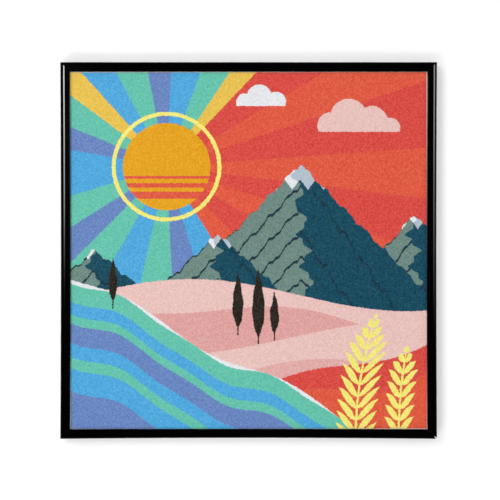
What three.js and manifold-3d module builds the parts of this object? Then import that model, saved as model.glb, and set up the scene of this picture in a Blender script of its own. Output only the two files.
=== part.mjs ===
// Square wall frame for a record jacket, loaded from the back.
// Millimetres, +Z up. The picture faces -Y and the wall is the plane y = 0.
// The origin is the nail's seat: the middle notch of the sawtooth hanger, on the wall plane.

import * as THREE from "three";
import { mergeVertices } from "three/addons/utils/BufferGeometryUtils.js";
import Module from "manifold-3d";

const wasm = await Module();
wasm.setup();

// Moulding of the four rails
const outer_width = 330.2;
const outer_height = 330.2;
const face_width = 8.9;
const lip_overlap = 3.3;
const lip_thickness = 1.2;
const shoulder_radius = 4.2;
const lip_edge_radius = 0.6;
const back_edge_chamfer = 0.4;
const moulding_wall = 1.2;
const hollow_front_wall = 3;
const mitre_gap = 0.1;

// Sheets held in the rabbet, from front to back
const sheet_clearance = 0.75;
const sheet_corner_radius = 0.5;
const layer_gap = 0.1;
const clear_thickness = 1;
const insert_thickness = 0.35;
const filler_thickness = 6;
const board_thickness = 2.5;
const back_recess = 3.55;

// Corrugated filler
const flute_pitch = 8.5;
const liner_thickness = 0.45;
const flute_paper = 0.4;
const glue_line = 1.6;
const flute_end_margin = 1.5;

// Barbed corner keys
const key_clearance = 0.1;
// A square key passes a rounded hollow while the rounding stays under 3.4 clearances
const hollow_corner_share = 2.5;
const key_leg = 30;
const key_barbs = 6;
const key_barb_depth = 0.4;
const key_lead = 0.7;
const key_tip_length = 2;
const key_root_length = 3;
const key_corner_chamfer = 1;

// Turn clips
const clip_thickness = 0.8;
const clip_hub_radius = 6.5;
const clip_pivot_inset = 15;
const clip_place_share = 0.26;
const arm_width_share = 0.66;
const tail_width_share = 0.56;
const clip_corner_radius = 1.5;
const tip_engagement = 1.2;
const tip_end_clearance = 0.4;
const tip_lift = 0.6;
const tip_joggle = 3;
const tail_reach = 11;
const tail_lift = 1.5;
const turn_gap = 0.2;
const groove_clearance = 0.3;

// Rivets
const rivet_shank_radius = 1.5;
const rivet_fit = 0.1;
const rivet_head_radius = 3;
const rivet_head_height = 1.1;
const rivet_flare_radius = 2.4;
const rivet_flare_rim = 0.3;
const rivet_bore_radius = 0.9;
const rivet_bore_depth = 1.8;
const rivet_recess = 0.15;

// Sawtooth hanger
const hanger_thickness = 0.8;
const hanger_height = 11;
const hanger_edge_gap = 6;
const hanger_notches = 11;
const notch_pitch = 2.2;
const notch_depth = 1.8;
const hanger_raise = 1.5;
const hanger_ramp = 3;
const hanger_rivet_margin = 0.4;

// How far a cutting shape runs past what it cuts
const overrun = 1;

// Faces along each round stretch
const shoulder_steps = 10;
const small_arc_steps = 3;
const lug_steps = 8;
const ring_steps = 16;
const dome_steps = 4;
const ease_steps = 4;
const flute_steps = 5;

// Planes across the depth. Each is a y value
const board_back = -back_recess;
const board_front = board_back - board_thickness;
const filler_back = board_front - layer_gap;
const filler_front = filler_back - filler_thickness;
const insert_back = filler_front - layer_gap;
const insert_front = insert_back - insert_thickness;
const clear_back = insert_front - layer_gap;
const clear_front = clear_back - clear_thickness;
const lip_back = clear_front - layer_gap;
const face = lip_back - lip_thickness;
const clip_front = board_back + turn_gap;
const clip_back = clip_front + clip_thickness;
const groove_front = clip_front + tip_lift - groove_clearance;
const groove_back = clip_back + tip_lift + groove_clearance;
const hanger_front = board_back + layer_gap;
const hanger_back = hanger_front + hanger_thickness;
const hollow_front = face + hollow_front_wall;
const hollow_back = groove_front - moulding_wall;

// Places across the rails, from the outer edge inwards
const rabbet_wall = face_width - lip_overlap;
const groove_floor = rabbet_wall - tip_engagement - tip_end_clearance;
const hollow_width = rabbet_wall - 2 * moulding_wall;
const hollow_corner_radius = hollow_corner_share * key_clearance;
const sheet_inset = rabbet_wall + sheet_clearance;
const sheet_width = outer_width - 2 * sheet_inset;
const sheet_height = outer_height - 2 * sheet_inset;

// Places on the hanger, with the frame's centre as zero
const toothed_half = (hanger_notches * notch_pitch) / 2;
const hanger_rivet_x = toothed_half + hanger_ramp + hanger_rivet_margin + rivet_head_radius;
const hanger_low = sheet_height / 2 - hanger_edge_gap - hanger_height;
const hanger_middle = hanger_low + hanger_height / 2;
const nail_seat_height = hanger_low + notch_depth;

const quarter = Math.PI / 2;
const sides = [
  { name: "top", turn: 0, along: outer_width, across: outer_height, ends: ["left", "right"] },
  { name: "right", turn: quarter, along: outer_height, across: outer_width, ends: ["top", "bottom"] },
  { name: "bottom", turn: 2 * quarter, along: outer_width, across: outer_height, ends: ["right", "left"] },
  { name: "left", turn: -quarter, along: outer_height, across: outer_width, ends: ["bottom", "top"] },
];

const materials = {
  gloss_black: new THREE.MeshStandardMaterial({ color: 0x070707, roughness: 0.12, metalness: 0 }),
  clear_acrylic: new THREE.MeshStandardMaterial({
    color: 0xf2f6f6,
    roughness: 0.05,
    metalness: 0,
    transparent: true,
    opacity: 0.15,
  }),
  printed_card: new THREE.MeshStandardMaterial({ color: 0xd9564a, roughness: 0.7, metalness: 0 }),
  corrugated_card: new THREE.MeshStandardMaterial({ color: 0xb48f62, roughness: 0.9, metalness: 0 }),
  fibreboard: new THREE.MeshStandardMaterial({ color: 0x8d6c48, roughness: 0.8, metalness: 0 }),
  nylon: new THREE.MeshStandardMaterial({ color: 0x3a3a3c, roughness: 0.5, metalness: 0 }),
  zinc_steel: new THREE.MeshStandardMaterial({ color: 0xb9bdc0, roughness: 0.35, metalness: 1 }),
};

// Points along an arc, both ends included
function arc(x, y, radius, from, to, steps) {
  const points = [];
  for (let i = 0; i <= steps; i++) {
    const angle = from + ((to - from) * i) / steps;
    points.push(new THREE.Vector2(x + radius * Math.cos(angle), y + radius * Math.sin(angle)));
  }
  return points;
}

function at(x, y) {
  return new THREE.Vector2(x, y);
}

function roundedRectangle(left, low, right, high, radius) {
  return [
    ...arc(right - radius, low + radius, radius, -quarter, 0, small_arc_steps),
    ...arc(right - radius, high - radius, radius, 0, quarter, small_arc_steps),
    ...arc(left + radius, high - radius, radius, quarter, 2 * quarter, small_arc_steps),
    ...arc(left + radius, low + radius, radius, 2 * quarter, 3 * quarter, small_arc_steps),
  ];
}

function extrude(outline, length, holes = []) {
  const shape = new THREE.Shape(outline);
  shape.holes = holes.map((points) => new THREE.Path(points));
  return new THREE.ExtrudeGeometry(shape, { depth: length, bevelEnabled: false });
}

// An outline drawn in x and z, as thick as the space between two y planes
function standing(outline, front, back) {
  return extrude(outline, back - front)
    .rotateX(quarter)
    .translate(0, back, 0);
}

function solid(geometry) {
  const bare = geometry.clone();
  bare.deleteAttribute("normal");
  bare.deleteAttribute("uv");
  const merged = mergeVertices(bare);
  const index = merged.index.array;
  const corners = [];
  for (let i = 0; i < index.length; i += 3) {
    const [a, b, c] = index.slice(i, i + 3);
    if (a !== b && b !== c && c !== a) corners.push(a, b, c);
  }
  return new wasm.Manifold(
    new wasm.Mesh({
      numProp: 3,
      vertProperties: new Float32Array(merged.attributes.position.array),
      triVerts: new Uint32Array(corners),
    }),
  );
}

function geometryOf(body) {
  const { numProp, vertProperties, triVerts } = body.getMesh();
  const count = vertProperties.length / numProp;
  const places = new Float32Array(3 * count);
  for (let i = 0; i < count; i++) {
    places.set(vertProperties.subarray(i * numProp, i * numProp + 3), 3 * i);
  }
  const geometry = new THREE.BufferGeometry();
  geometry.setAttribute("position", new THREE.BufferAttribute(places, 3));
  geometry.setIndex(new THREE.BufferAttribute(new Uint32Array(triVerts), 1));
  geometry.computeVertexNormals();
  return geometry;
}

function mesh(name, geometry, material) {
  const piece = new THREE.Mesh(geometry, material);
  piece.name = name;
  return piece;
}

// Section of the moulding: x runs inwards from the outer edge, y across the depth
function railOutline() {
  return [
    at(0, -back_edge_chamfer),
    ...arc(
      shoulder_radius,
      face + shoulder_radius,
      shoulder_radius,
      2 * quarter,
      3 * quarter,
      shoulder_steps,
    ),
    ...arc(
      face_width - lip_edge_radius,
      face + lip_edge_radius,
      lip_edge_radius,
      -quarter,
      0,
      small_arc_steps,
    ),
    at(face_width, lip_back),
    at(rabbet_wall, lip_back),
    at(rabbet_wall, groove_front),
    at(groove_floor, groove_front),
    at(groove_floor, groove_back),
    at(rabbet_wall, groove_back),
    at(rabbet_wall, -back_edge_chamfer),
    at(rabbet_wall - back_edge_chamfer, 0),
    at(back_edge_chamfer, 0),
  ];
}

function hollowOutline() {
  return roundedRectangle(
    moulding_wall,
    hollow_front,
    moulding_wall + hollow_width,
    hollow_back,
    hollow_corner_radius,
  );
}

// Slides each end point along the rail by its own distance from the outer edge
function mitre(geometry, length) {
  const places = geometry.attributes.position;
  const half_gap = mitre_gap / Math.SQRT2;
  for (let i = 0; i < places.count; i++) {
    const reach = length / 2 - places.getX(i) - half_gap;
    places.setZ(i, Math.sign(places.getZ(i)) * reach);
  }
}

// The rail above the frame's centre. The others are this one turned about Y
function railGeometry(side) {
  const geometry = extrude(railOutline(), side.along, [hollowOutline()]);
  geometry.translate(0, 0, -side.along / 2);
  mitre(geometry, side.along);
  const inwards = new THREE.Vector3(0, 0, -1);
  const backwards = new THREE.Vector3(0, 1, 0);
  const sideways = new THREE.Vector3(1, 0, 0);
  geometry.applyMatrix4(new THREE.Matrix4().makeBasis(inwards, backwards, sideways));
  return geometry.translate(0, 0, side.across / 2);
}

// One leg of a key, from the outer corner round its tip to the inner corner.
// Each barb is steep towards the corner and slopes away towards the tip
function keyLeg(width, core) {
  const first = width + key_root_length;
  const pitch = (key_leg - key_tip_length - first) / key_barbs;
  const outer = [];
  const inner = [];
  for (let k = 0; k < key_barbs; k++) {
    const root = first + k * pitch;
    outer.push(at(root, core), at(root, 0));
    inner.unshift(at(root, width), at(root, width - core));
  }
  const last = first + key_barbs * pitch;
  return [
    at(core + key_corner_chamfer, core),
    ...outer,
    at(last, core),
    at(key_leg, core + key_lead * core),
    at(key_leg, width - core - key_lead * core),
    at(last, width - core),
    ...inner,
  ];
}

// An L with its outer corner at zero and its legs along +x and +y
function keyOutline() {
  const width = hollow_width - 2 * key_clearance;
  const leg = keyLeg(width, key_barb_depth);
  const other = leg.map((point) => at(point.y, point.x)).reverse();
  return [...leg, at(width - key_barb_depth, width - key_barb_depth), ...other];
}

// The key of the top right corner. The others are this one turned about Y
function keyGeometry() {
  const thickness = hollow_back - hollow_front - 2 * key_clearance;
  const geometry = extrude(keyOutline(), thickness);
  const left = new THREE.Vector3(-1, 0, 0);
  const down = new THREE.Vector3(0, 0, -1);
  const forwards = new THREE.Vector3(0, -1, 0);
  geometry.applyMatrix4(new THREE.Matrix4().makeBasis(left, down, forwards));
  return geometry.translate(0, hollow_back - key_clearance, 0);
}

function sheetGeometry(front, back) {
  const x = sheet_width / 2;
  const z = sheet_height / 2;
  return standing(roundedRectangle(-x, -z, x, z, sheet_corner_radius), front, back);
}

// One open channel between a liner and the waved paper, from crest to crest.
// toward is 1 for a channel under the back liner and -1 for one over the front liner
function fluteChannel(start, toward) {
  const middle = (filler_front + filler_back) / 2;
  const liner_face = filler_thickness / 2 - liner_thickness;
  const wave = liner_face - flute_paper / 2;
  const points = [];
  for (let i = 0; i <= flute_steps; i++) {
    const x = glue_line / 2 + ((flute_pitch - glue_line) * i) / flute_steps;
    const height = wave * Math.cos((2 * Math.PI * x) / flute_pitch) + flute_paper / 2;
    points.push(at(start + x, middle + toward * height));
  }
  points.push(at(start + flute_pitch - glue_line / 2, middle + toward * liner_face));
  points.push(at(start + glue_line / 2, middle + toward * liner_face));
  return points;
}

// Corrugated card with upright flutes, open at the top and bottom edges
function fillerGeometry() {
  const count = Math.floor((sheet_width - 2 * flute_end_margin) / flute_pitch - 1 / 2);
  const start = (-(count + 1 / 2) * flute_pitch) / 2;
  const length = sheet_height + 2 * overrun;
  const channel = (first, toward) =>
    solid(extrude(fluteChannel(first, toward), length).translate(0, 0, -length / 2));
  let card = solid(sheetGeometry(filler_front, filler_back));
  for (let k = 0; k < count; k++) {
    card = card.subtract(channel(start + k * flute_pitch, 1));
    card = card.subtract(channel(start + (k + 1 / 2) * flute_pitch, -1));
  }
  return geometryOf(card);
}

// Where each clip turns, with its names, as seen from the frame's centre
function clipPlaces() {
  const places = [];
  for (const side of sides) {
    side.ends.forEach((end, i) => {
      const x = (2 * i - 1) * clip_place_share * side.along;
      const z = side.across / 2 - sheet_inset - clip_pivot_inset;
      const pivot = at(x, z).rotateAround(at(0, 0), -side.turn);
      places.push({ name: side.name + "_" + end, turn: side.turn, x: pivot.x, z: pivot.y });
    });
  }
  return places;
}

function hangerRivetPlaces() {
  return [
    { name: "left", x: -hanger_rivet_x, z: hanger_middle },
    { name: "right", x: hanger_rivet_x, z: hanger_middle },
  ];
}

// A rivet along Y: rolled end in the board's front, domed head on head_seat
function rivetGeometry(head_seat) {
  const rolled_front = board_front + rivet_recess;
  const rim_back = rolled_front + rivet_flare_rim;
  const dome = [];
  for (let i = 0; i < dome_steps; i++) {
    const angle = (quarter * i) / dome_steps;
    const r = rivet_head_radius * Math.cos(angle);
    dome.push(at(r, head_seat + rivet_head_height * Math.sin(angle)));
  }
  return new THREE.LatheGeometry(
    [
      at(0, rolled_front + rivet_bore_depth),
      at(rivet_bore_radius, rolled_front + rivet_bore_depth),
      at(rivet_bore_radius, rolled_front),
      at(rivet_flare_radius, rolled_front),
      at(rivet_flare_radius, rim_back),
      at(rivet_shank_radius, rim_back + rivet_flare_radius - rivet_shank_radius),
      at(rivet_shank_radius, head_seat),
      ...dome,
      at(0, head_seat + rivet_head_height),
    ],
    ring_steps,
  );
}

// What a rivet's rolled end and shank take out of the board
function rivetSeat(place) {
  const rim_back = board_front + rivet_recess + rivet_flare_rim + rivet_fit;
  const geometry = new THREE.LatheGeometry(
    [
      at(0, board_front - overrun),
      at(rivet_flare_radius + rivet_fit, board_front - overrun),
      at(rivet_flare_radius + rivet_fit, rim_back),
      at(rivet_shank_radius + rivet_fit, rim_back + rivet_flare_radius - rivet_shank_radius),
      at(rivet_shank_radius + rivet_fit, board_back + overrun),
      at(0, board_back + overrun),
    ],
    ring_steps,
  );
  return solid(geometry.translate(place.x, 0, place.z));
}

function boardGeometry() {
  let board = solid(sheetGeometry(board_front, board_back));
  for (const place of [...clipPlaces(), ...hangerRivetPlaces()]) {
    board = board.subtract(rivetSeat(place));
  }
  return geometryOf(board);
}

// 0 to 1 along a smooth bend
function ease(share) {
  const s = Math.min(Math.max(share, 0), 1);
  return s * s * (3 - 2 * s);
}

// A strip of sheet metal: stations along x, lift(x) its front face's y, as wide along z as width
function strip(stations, lift, thickness, width) {
  const front = stations.map((x) => at(x, lift(x)));
  const back = stations.map((x) => at(x, lift(x) + thickness)).reverse();
  return extrude([...front, ...back], width).translate(0, 0, -width / 2);
}

function bend(from, to) {
  const stations = [];
  for (let i = 0; i <= ease_steps; i++) {
    stations.push(from + ((to - from) * i) / ease_steps);
  }
  return stations;
}

function rivetHole(x, z) {
  const radius = rivet_shank_radius + rivet_fit;
  const length = back_recess + 2 * overrun;
  const hole = new THREE.CylinderGeometry(radius, radius, length, ring_steps);
  return solid(hole.translate(x, board_back / 2, z));
}

// Seen from the front: a round hub, an arm up to the tip and a shorter thumb tail
function clipOutline(tip_reach) {
  const arm = arm_width_share * clip_hub_radius;
  const tail = tail_width_share * clip_hub_radius;
  const r = clip_corner_radius;
  const arm_angle = Math.acos(arm_width_share);
  const tail_angle = Math.acos(tail_width_share);
  return [
    ...arc(arm - r, tip_reach - r, r, 0, quarter, small_arc_steps),
    ...arc(-arm + r, tip_reach - r, r, quarter, 2 * quarter, small_arc_steps),
    ...arc(0, 0, clip_hub_radius, Math.PI - arm_angle, Math.PI + tail_angle, lug_steps),
    ...arc(-tail + r, -tail_reach + r, r, 2 * quarter, 3 * quarter, small_arc_steps),
    ...arc(tail - r, -tail_reach + r, r, 3 * quarter, 4 * quarter, small_arc_steps),
    ...arc(0, 0, clip_hub_radius, -tail_angle, arm_angle, lug_steps),
  ];
}

// A clip that turns about Y at zero, with its tip towards +Z
function clipGeometry() {
  const tip_reach = clip_pivot_inset + sheet_clearance + tip_engagement;
  const lift = (z) =>
    clip_front +
    tip_lift * ease((z - clip_hub_radius) / tip_joggle) +
    tail_lift * ease((-z - clip_hub_radius) / (tail_reach - clip_hub_radius));
  const stations = [
    ...bend(-tail_reach, -clip_hub_radius),
    ...bend(clip_hub_radius, clip_hub_radius + tip_joggle),
    tip_reach,
  ];
  const bent = strip(stations, lift, clip_thickness, 2 * clip_hub_radius + overrun);
  const blank = standing(clipOutline(tip_reach), board_back - overrun, overrun);
  return geometryOf(
    solid(bent.rotateY(-quarter))
      .intersect(solid(blank))
      .subtract(rivetHole(0, 0)),
  );
}

// Seen from the front: rounded lugs, a straight top edge and notches along the lower edge
function hangerOutline() {
  const r = hanger_height / 2;
  const points = [];
  for (let k = 0; k < hanger_notches; k++) {
    const x = -toothed_half + k * notch_pitch;
    points.push(at(x, hanger_low), at(x + notch_pitch / 2, hanger_low + notch_depth));
  }
  return [
    ...points,
    at(toothed_half, hanger_low),
    ...arc(hanger_rivet_x, hanger_middle, r, -quarter, quarter, lug_steps),
    ...arc(-hanger_rivet_x, hanger_middle, r, quarter, 3 * quarter, lug_steps),
  ];
}

function hangerGeometry() {
  const end = hanger_rivet_x + hanger_height / 2;
  const ramp_end = toothed_half + hanger_ramp;
  const lift = (x) => hanger_front + hanger_raise * ease((ramp_end - Math.abs(x)) / hanger_ramp);
  const stations = [
    -end,
    ...bend(-ramp_end, -toothed_half),
    ...bend(toothed_half, ramp_end),
    end,
  ];
  const bent = strip(stations, lift, hanger_thickness, hanger_height + overrun);
  const blank = standing(hangerOutline(), board_back - overrun, overrun);
  let hanger = solid(bent.translate(0, 0, hanger_middle)).intersect(solid(blank));
  for (const place of hangerRivetPlaces()) {
    hanger = hanger.subtract(rivetHole(place.x, place.z));
  }
  return geometryOf(hanger);
}

// Four mitred rails and the keys inside their corners
function moulding() {
  const group = new THREE.Group();
  const key_inset = moulding_wall + key_clearance;
  const corners = ["top_right", "bottom_right", "bottom_left", "top_left"];
  sides.forEach((side, i) => {
    const turned = new THREE.Group();
    turned.rotation.y = side.turn;
    turned.add(mesh("rail_" + side.name, railGeometry(side), materials.gloss_black));
    const key = mesh("corner_key_" + corners[i], keyGeometry(), materials.nylon);
    key.position.set(side.along / 2 - key_inset, 0, side.across / 2 - key_inset);
    turned.add(key);
    group.add(turned);
  });
  return group;
}

function sheets() {
  const group = new THREE.Group();
  group.add(mesh("clear_front", sheetGeometry(clear_front, clear_back), materials.clear_acrylic));
  group.add(mesh("insert_print", sheetGeometry(insert_front, insert_back), materials.printed_card));
  group.add(mesh("filler_board", fillerGeometry(), materials.corrugated_card));
  group.add(mesh("backing_board", boardGeometry(), materials.fibreboard));
  return group;
}

function turnClips() {
  const group = new THREE.Group();
  const clip_shape = clipGeometry();
  const rivet_shape = rivetGeometry(clip_back + rivet_fit);
  for (const place of clipPlaces()) {
    const clip = mesh("turn_clip_" + place.name, clip_shape, materials.zinc_steel);
    clip.position.set(place.x, 0, place.z);
    clip.rotation.y = place.turn;
    const rivet = mesh("clip_rivet_" + place.name, rivet_shape, materials.zinc_steel);
    rivet.position.set(place.x, 0, place.z);
    group.add(clip, rivet);
  }
  return group;
}

function wallHanger() {
  const group = new THREE.Group();
  group.add(mesh("sawtooth_hanger", hangerGeometry(), materials.zinc_steel));
  const rivet_shape = rivetGeometry(hanger_back + layer_gap);
  for (const place of hangerRivetPlaces()) {
    const rivet = mesh("hanger_rivet_" + place.name, rivet_shape, materials.zinc_steel);
    rivet.position.set(place.x, 0, place.z);
    group.add(rivet);
  }
  return group;
}

const record_frame = new THREE.Group();
record_frame.name = "record_frame";
record_frame.add(moulding(), sheets(), turnClips(), wallHanger());
record_frame.position.z = -nail_seat_height;

export default record_frame;
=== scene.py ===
import math

import bmesh
import bpy
from mathutils import Matrix, Vector


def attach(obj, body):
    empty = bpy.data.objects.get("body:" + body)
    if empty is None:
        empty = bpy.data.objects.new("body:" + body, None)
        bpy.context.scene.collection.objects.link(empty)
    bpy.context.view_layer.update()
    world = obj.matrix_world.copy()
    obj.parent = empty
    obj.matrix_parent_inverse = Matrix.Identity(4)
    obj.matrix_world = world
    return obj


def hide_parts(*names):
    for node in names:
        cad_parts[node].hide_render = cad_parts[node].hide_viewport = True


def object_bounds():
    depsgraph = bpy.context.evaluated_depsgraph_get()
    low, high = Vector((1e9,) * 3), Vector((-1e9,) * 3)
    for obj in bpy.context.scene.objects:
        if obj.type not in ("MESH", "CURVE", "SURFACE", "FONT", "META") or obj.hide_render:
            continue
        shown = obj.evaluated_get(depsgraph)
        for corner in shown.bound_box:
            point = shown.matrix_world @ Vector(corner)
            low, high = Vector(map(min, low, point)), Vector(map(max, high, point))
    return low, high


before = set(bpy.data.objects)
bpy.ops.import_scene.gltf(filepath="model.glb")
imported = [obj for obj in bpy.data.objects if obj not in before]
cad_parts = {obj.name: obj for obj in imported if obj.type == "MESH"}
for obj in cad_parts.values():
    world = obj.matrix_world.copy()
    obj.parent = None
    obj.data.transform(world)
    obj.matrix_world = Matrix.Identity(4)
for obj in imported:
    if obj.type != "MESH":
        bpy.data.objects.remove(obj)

cad_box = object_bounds()

MM = 0.001
TONE_GAMMA = 1.6
TURN = 2 * math.pi
QUARTER = math.pi / 2

# Places that repeat the CAD model's, in metres
SIDE = 0.3302
HALF_SIDE = SIDE / 2
FACE_Y = -0.015
CENTRE = (cad_box[0] + cad_box[1]) / 2
CENTRE_Z = CENTRE.z
FACE_WIDTH = 8.9 * MM
OPENING_HALF = HALF_SIDE - FACE_WIDTH
LIP_BACK_Y = -13.8 * MM
RABBET_WALL = 5.6 * MM
GROOVE_FLOOR = 4.0 * MM
GROOVE_FRONT_Y = -3.05 * MM
GROOVE_BACK_Y = -1.65 * MM
HOLLOW = (1.2 * MM, 4.4 * MM, -12 * MM, -4.25 * MM)
BOARD_FRONT_Y = -6.05 * MM
BOARD_BACK_Y = -3.55 * MM
CLIP_FRONT_Y = -3.35 * MM
HANGER_FRONT_Y = -3.45 * MM
METAL = 0.8 * MM
CLIP_PIVOT = 0.14375
CLIP_SPREAD = 0.26 * SIDE
HANGER_RIVET_X = 18.5 * MM
HANGER_Z = 3.7 * MM
HANGER_LOW = -1.8 * MM
HANGER_RAISE = 1.5 * MM
CLIP_HEAD_SEAT = -2.45 * MM
HANGER_HEAD_SEAT = -2.55 * MM
FLUTE_PITCH = 8.5 * MM

ART = {
    "mint": "66C2AC",
    "blue": "4FA8DC",
    "periwinkle": "6A86C0",
    "coral": "D94B43",
    "orange": "E05A40",
    "straw": "E8C050",
    "mustard": "E4A314",
    "lemon": "F2E878",
    "teal": "0A4A5E",
    "sage": "6E8A82",
    "pink": "E9C2BD",
    "rose": "DFA3A0",
    "umber": "2B2319",
    "navy": "15303F",
    "cloud": "E6E6EA",
    "shade": "B4C0CC",
}


def linear(code):
    """A colour as it is written on a screen, in linear light."""
    values = []
    for i in (0, 2, 4):
        c = int(code[i:i + 2], 16) / 255
        values.append(c / 12.92 if c <= 0.04045 else ((c + 0.055) / 1.055) ** 2.4)
    return (*values, 1.0)


def grey(shade):
    return (shade, shade, shade, 1)


# Node toolkit


class Value:
    """A number that a node gives. It adds, multiplies and compares like one."""

    def __init__(self, paint, socket):
        self.paint = paint
        self.socket = socket

    def __add__(self, other):
        return self.paint.math("ADD", self, other)

    def __radd__(self, other):
        return self.paint.math("ADD", other, self)

    def __sub__(self, other):
        return self.paint.math("SUBTRACT", self, other)

    def __rsub__(self, other):
        return self.paint.math("SUBTRACT", other, self)

    def __mul__(self, other):
        return self.paint.math("MULTIPLY", self, other)

    def __rmul__(self, other):
        return self.paint.math("MULTIPLY", other, self)

    def __truediv__(self, other):
        return self.paint.math("DIVIDE", self, other)

    def __neg__(self):
        return self.paint.math("MULTIPLY", self, -1.0)


class Paint:
    """One material and its nodes."""

    def __init__(self, name):
        self.material = bpy.data.materials.new(name)
        self.material.use_nodes = True
        self.tree = self.material.node_tree
        self.tree.nodes.clear()
        self.output = self.tree.nodes.new("ShaderNodeOutputMaterial")

    def node(self, kind, **settings):
        made = self.tree.nodes.new(kind)
        for key, value in settings.items():
            setattr(made, key, value)
        return made

    def put(self, value, socket):
        if isinstance(value, Value):
            self.tree.links.new(value.socket, socket)
        elif isinstance(value, bpy.types.NodeSocket):
            self.tree.links.new(value, socket)
        else:
            socket.default_value = value

    def math(self, operation, *values):
        made = self.node("ShaderNodeMath", operation=operation)
        for value, socket in zip(values, made.inputs):
            self.put(value, socket)
        return Value(self, made.outputs[0])

    def clamp(self, value):
        made = self.node("ShaderNodeClamp")
        self.put(value, made.inputs["Value"])
        return Value(self, made.outputs[0])

    def smooth(self, value, low, high):
        made = self.node("ShaderNodeMapRange", interpolation_type="SMOOTHSTEP")
        self.put(value, made.inputs["Value"])
        made.inputs["From Min"].default_value = low
        made.inputs["From Max"].default_value = high
        return Value(self, made.outputs["Result"])

    def place(self):
        return self.split(self.node("ShaderNodeTexCoord").outputs["Object"])

    def vector(self, x, y, z):
        made = self.node("ShaderNodeCombineXYZ")
        for value, socket in zip((x, y, z), made.inputs):
            self.put(value, socket)
        return made.outputs[0]

    def noise(self, place, scale, detail=2.0, roughness=0.5, colour=False):
        made = self.node("ShaderNodeTexNoise")
        self.put(place, made.inputs["Vector"])
        made.inputs["Scale"].default_value = scale
        made.inputs["Detail"].default_value = detail
        made.inputs["Roughness"].default_value = roughness
        return made.outputs[1] if colour else Value(self, made.outputs[0])

    def split(self, socket):
        made = self.node("ShaderNodeSeparateXYZ")
        self.put(socket, made.inputs[0])
        return [Value(self, out) for out in made.outputs]

    def cells(self, place, scale):
        made = self.node("ShaderNodeTexVoronoi", feature="F1")
        self.put(place, made.inputs["Vector"])
        made.inputs["Scale"].default_value = scale
        made.inputs["Randomness"].default_value = 1.0
        return Value(self, made.outputs["Distance"])

    def normal(self):
        return self.split(self.node("ShaderNodeNewGeometry").outputs["Normal"])

    def mix(self, share, under, over):
        made = self.node("ShaderNodeMix", data_type="RGBA")
        self.put(share, made.inputs[0])
        self.put(under, made.inputs[6])
        self.put(over, made.inputs[7])
        return made.outputs[2]

    def powered(self, colour, gamma):
        made = self.node("ShaderNodeGamma")
        self.put(colour, made.inputs["Color"])
        made.inputs["Gamma"].default_value = gamma
        return made.outputs[0]

    def speckled(self, colour, amount):
        """The colour with amount added to each channel's tone.
        Dark inks show the specks as well as pale ones."""
        added = self.node("ShaderNodeVectorMath", operation="ADD")
        self.put(self.powered(colour, 1 / TONE_GAMMA), added.inputs[0])
        self.put(self.vector(amount, amount, amount), added.inputs[1])
        kept = self.node("ShaderNodeVectorMath", operation="MAXIMUM")
        self.put(added.outputs[0], kept.inputs[0])
        return self.powered(kept.outputs[0], TONE_GAMMA)

    def bump(self, height, distance):
        made = self.node("ShaderNodeBump")
        made.inputs["Strength"].default_value = 1.0
        made.inputs["Distance"].default_value = distance
        self.put(height, made.inputs["Height"])
        return made.outputs[0]

    def surface(self, colour, roughness, metallic=0.0, normal=None, ior=1.5):
        made = self.node("ShaderNodeBsdfPrincipled")
        self.put(colour, made.inputs["Base Color"])
        self.put(roughness, made.inputs["Roughness"])
        made.inputs["Metallic"].default_value = metallic
        made.inputs["IOR"].default_value = ior
        if normal is not None:
            self.put(normal, made.inputs["Normal"])
        return made

    def emission(self, colour, strength):
        made = self.node("ShaderNodeEmission")
        self.put(colour, made.inputs["Color"])
        self.put(strength, made.inputs["Strength"])
        return made

    def joined(self, share, first, second):
        made = self.node("ShaderNodeMixShader")
        self.put(share, made.inputs[0])
        self.tree.links.new(first.outputs[0], made.inputs[1])
        self.tree.links.new(second.outputs[0], made.inputs[2])
        return made

    def finish(self, shader):
        self.tree.links.new(shader.outputs[0], self.output.inputs["Surface"])
        return self.material


# Materials


def gloss_black(name, upright):
    """Extruded plastic, polished on its face and satin on its sides.
    Faint die lines run along the rail."""
    p = Paint(name)
    x, y, z = p.place()
    if upright:
        stretched = p.vector(x, y, z * 0.012)
        drawn = p.vector(x, y, z * 0.05)
    else:
        stretched = p.vector(x * 0.012, y, z)
        drawn = p.vector(x * 0.05, y, z)
    die_lines = p.noise(stretched, 2600, 3.0, 0.6)
    hairlines = p.noise(drawn, 5200, 1.0)
    scratch = p.smooth(hairlines, 0.74, 0.80)
    place = p.vector(x, y, z)
    cloudy = p.noise(place, 38, 3.0, 0.6)
    specks = p.smooth(p.cells(place, 420), 0.10, 0.05) * p.smooth(p.noise(place, 130), 0.60, 0.68)
    roughness = 0.055 + 0.05 * cloudy + 0.10 * scratch + 0.5 * specks
    polished = (0.0004, 0.0004, 0.00045, 1)
    speck = (0.04, 0.04, 0.038, 1)
    colour = p.mix(specks * 0.5, polished, speck)
    height = die_lines * 0.6 - scratch * 0.8 + specks
    normal = p.bump(height, 0.0000012)
    dark_satin = (0.011, 0.011, 0.0112, 1)
    light_satin = (0.021, 0.021, 0.0215, 1)
    satin = p.mix(p.smooth(die_lines, 0.35, 0.65), dark_satin, light_satin)
    side = p.smooth(p.math("ABSOLUTE", p.normal()[0 if upright else 2]), 0.93, 0.995)
    colour = p.mix(side, colour, satin)
    roughness = roughness + side * (0.60 + 0.2 * cloudy)
    return p.finish(p.surface(colour, roughness, normal=normal, ior=1.49))


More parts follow.
